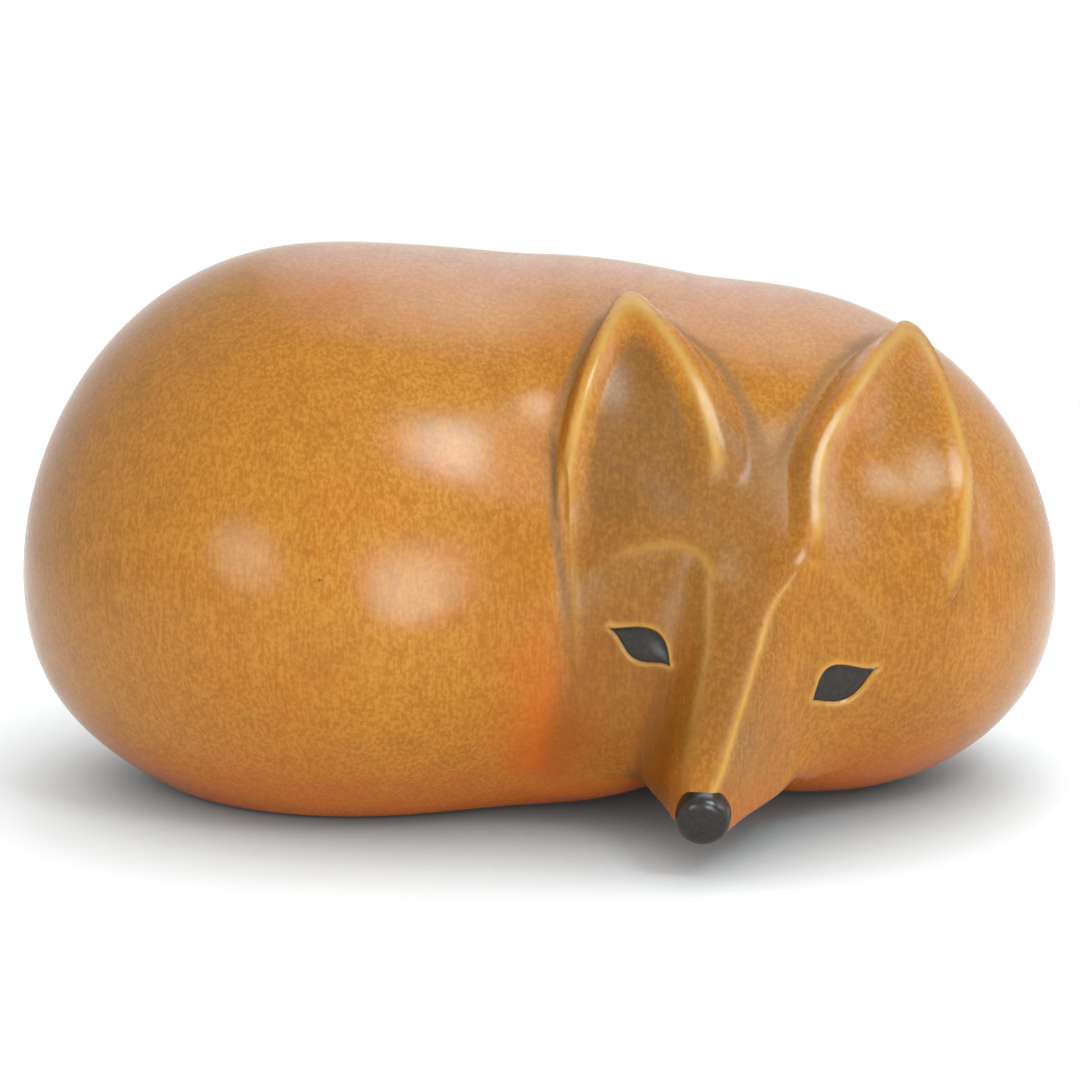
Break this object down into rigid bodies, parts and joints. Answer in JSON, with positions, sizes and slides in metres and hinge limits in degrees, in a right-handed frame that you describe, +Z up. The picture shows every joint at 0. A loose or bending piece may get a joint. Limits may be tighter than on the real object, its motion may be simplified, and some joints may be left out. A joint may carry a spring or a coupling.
{
  "type": "fox figurine",
  "caption": "Curled-up fox figurine in glazed stoneware: a smooth hollow pebble-like body with a pointed resting face, leaf-shaped cupped ears and dark inlaid eyes and nose, on a flat foot.",
  "frame": {"origin": "a point near the middle of the flat foot, in the foot's plane", "axes": "+Z up from the foot, +X along the length towards the head end, the face looks towards -Y"},
  "size_m": [0.1617, 0.1073, 0.0859],
  "materials": {
    "amber_glaze": "satin amber-orange stoneware glaze with fine mottling and paler edges",
    "ear_glaze": "the same glaze pooled olive-brown in the cups, pale yellow where it breaks on the rims",
    "black_glaze": "glossy charcoal-black glaze"
  },
  "bodies": {
    "root": {"body_upper_shell": "amber_glaze", "body_lower_shell": "amber_glaze", "head": "amber_glaze", "left_ear": "ear_glaze", "right_ear": "ear_glaze", "left_eye": "black_glaze", "right_eye": "black_glaze", "nose": "black_glaze"}
  },
  "joints": []
}
